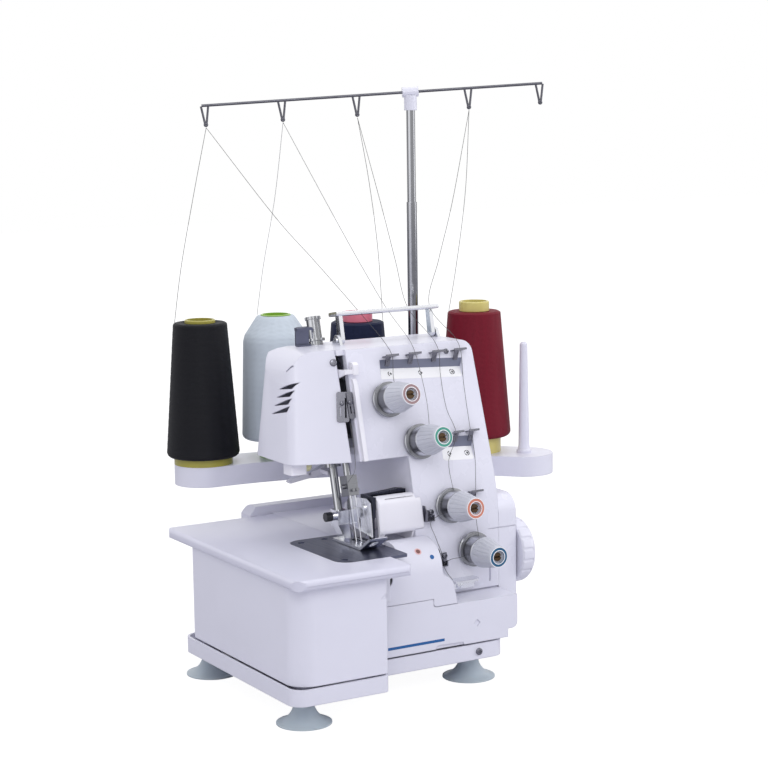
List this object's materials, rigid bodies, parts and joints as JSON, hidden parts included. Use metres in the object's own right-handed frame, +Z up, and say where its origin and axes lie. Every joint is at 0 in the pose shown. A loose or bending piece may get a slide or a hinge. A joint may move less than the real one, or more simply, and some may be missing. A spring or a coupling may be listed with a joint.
{
  "type": "serger overlock machine",
  "caption": "White overlock sewing machine with an extension table, tension dials, thread cones on a curved stand and a telescopic thread mast",
  "frame": {"origin": "bottom centre of the bounding box", "axes": "X right, Y back, Z up; the dials face -Y"},
  "size_m": [0.3897, 0.3384, 0.5591],
  "materials": {
    "moulding": "satin moulded",
    "feet": "translucent grey",
    "dark_steel": "dark, fine brushed",
    "steel": "ground",
    "cast": "cast, machined bores",
    "chrome": "bright",
    "brass": "turned",
    "knob": "silver grey, fluted",
    "lens": "yellowish lamp lens",
    "black": "fine texture",
    "tube": "coloured tubes",
    "thread_black": "wound thread",
    "thread_pale": "wound thread",
    "thread_navy": "wound thread",
    "thread_red": "wound thread"
  },
  "bodies": {
    "machine": {"base_tray": "moulding", "suction_feet": "feet", "lower_housing": "moulding", "front_block": "moulding", "knife_guard": "moulding", "needle_plate": "dark_steel", "lower_knife": "steel", "looper_shafts": "steel", "belt_cover": "moulding", "head_housing": "moulding", "front_panel": "moulding", "rear_cover": "moulding", "face_cover": "moulding", "bar_frame": "cast", "needle_guard": "chrome", "slot_bar": "moulding", "lamp_housing": "moulding", "lamp_lens": "lens", "thread_guides": "chrome", "release_tab": "chrome", "tension_discs": "chrome", "tension_bolts": "brass", "handle_brackets": "chrome", "gauge_plate": "dark_steel", "spool_stand": "moulding", "spool_pins": "moulding", "thread_cone_1": "thread_black", "thread_cone_2": "thread_pale", "thread_cone_3": "thread_navy", "thread_cone_4": "thread_red", "spool_tubes": "tube", "mast_lower": "chrome", "power_socket": "black", "screws": "steel"},
    "extension_table": {"side_cover": "moulding", "cloth_plate": "moulding"},
    "looper_door": {"looper_cover": "moulding"},
    "wheel": {"handwheel": "moulding", "main_shaft": "steel"},
    "needle_unit": {"needle_bar": "chrome", "needle_clamp": "dark_steel", "needles": "chrome"},
    "presser": {"presser_bar": "chrome", "presser_foot": "chrome"},
    "lifter": {"lifter_lever": "moulding"},
    "take_up": {"take_up_lever": "moulding"},
    "feed": {"feed_dogs": "steel"},
    "knife": {"upper_knife": "dark_steel"},
    "looper_up": {"upper_looper": "steel"},
    "looper_low": {"lower_looper": "steel"},
    "pressure": {"pressure_screw": "chrome"},
    "dial_1": {"tension_knob_1": "knob"},
    "dial_2": {"tension_knob_2": "knob"},
    "dial_3": {"tension_knob_3": "knob"},
    "dial_4": {"tension_knob_4": "knob"},
    "handle": {"carry_handle": "chrome"},
    "thread_mast": {"mast_upper": "chrome", "mast_head": "moulding", "thread_bar": "steel"},
    "switch": {"power_switch": "black"}
  },
  "joints": [
    {"name": "table_slide", "type": "slide", "parent": "machine", "child": "extension_table", "axis": [-1, 0, 0], "range_m": [0, 0.07]},
    {"name": "looper_cover_hinge", "type": "hinge", "parent": "machine", "child": "looper_door", "pos_m": [-0.01472, -0.1152, 0.045], "axis": [1, 0, 0], "range_deg": [0, 95]},
    {"name": "wheel_turn", "type": "hinge", "parent": "machine", "child": "wheel", "pos_m": [0.03028, -0.0632, 0.11], "axis": [1, 0, 0], "continuous": true},
    {"name": "needle_stroke", "type": "slide", "parent": "machine", "child": "needle_unit", "axis": [0, 0.2385, 0.9711], "range_m": [-0.004, 0.022]},
    {"name": "foot_lift", "type": "slide", "parent": "machine", "child": "presser", "axis": [0, 0.2385, 0.9711], "range_m": [0, 0.0052]},
    {"name": "lifter_hinge", "type": "hinge", "parent": "machine", "child": "lifter", "pos_m": [-0.06772, -0.0002, 0.2], "axis": [0, 1, 0], "range_deg": [0, 30]},
    {"name": "take_up_swing", "type": "hinge", "parent": "machine", "child": "take_up", "pos_m": [-0.08232, 0.0098, 0.284], "axis": [-1, 0, 0], "range_deg": [0, 8]},
    {"name": "feed_travel", "type": "slide", "parent": "machine", "child": "feed", "axis": [0, -1, 0], "range_m": [-0.002, 0.002]},
    {"name": "knife_stroke", "type": "slide", "parent": "machine", "child": "knife", "axis": [0, 0, -1], "range_m": [0, 0.006]},
    {"name": "upper_looper_swing", "type": "hinge", "parent": "machine", "child": "looper_up", "pos_m": [-0.05522, -0.0572, 0.092], "axis": [1, 0, 0], "range_deg": [-8, 25]},
    {"name": "lower_looper_swing", "type": "hinge", "parent": "machine", "child": "looper_low", "pos_m": [-0.04322, -0.0372, 0.066], "axis": [1, 0, 0], "range_deg": [-20, 0]},
    {"name": "pressure_turn", "type": "hinge", "parent": "machine", "child": "pressure", "pos_m": [-0.07572, 0.00465, 0.31311], "axis": [0, 0.2385, 0.9711], "range_deg": [-180, 180]},
    {"name": "dial_1_turn", "type": "hinge", "parent": "machine", "child": "dial_1", "pos_m": [-0.03902, -0.06147, 0.2686], "axis": [0, -0.9711, 0.2385], "range_deg": [-135, 135]},
    {"name": "dial_2_turn", "type": "hinge", "parent": "machine", "child": "dial_2", "pos_m": [-0.01142, -0.07152, 0.2277], "axis": [0, -0.9711, 0.2385], "range_deg": [-135, 135]},
    {"name": "dial_3_turn", "type": "hinge", "parent": "machine", "child": "dial_3", "pos_m": [0.01438, -0.08384, 0.1666], "axis": [0, -0.9948, 0.1016], "range_deg": [-135, 135]},
    {"name": "dial_4_turn", "type": "hinge", "parent": "machine", "child": "dial_4", "pos_m": [0.03838, -0.0852, 0.1225], "axis": [0, -1, 0], "range_deg": [-135, 135]},
    {"name": "handle_fold", "type": "hinge", "parent": "machine", "child": "handle", "pos_m": [-0.00672, -0.0092, 0.321], "axis": [-1, 0, 0], "range_deg": [-10, 60]},
    {"name": "mast_telescope", "type": "slide", "parent": "machine", "child": "thread_mast", "axis": [0, 0, -1], "range_m": [0, 0.088]},
    {"name": "switch_rock", "type": "hinge", "parent": "machine", "child": "switch", "pos_m": [0.08678, 0.0098, 0.097], "axis": [0, 1, 0], "range_deg": [0, 8]}
  ],
  "couplings": [
    {"joint": "foot_lift", "follows": "lifter_hinge", "m_per_rad": 0.009549}
  ]
}
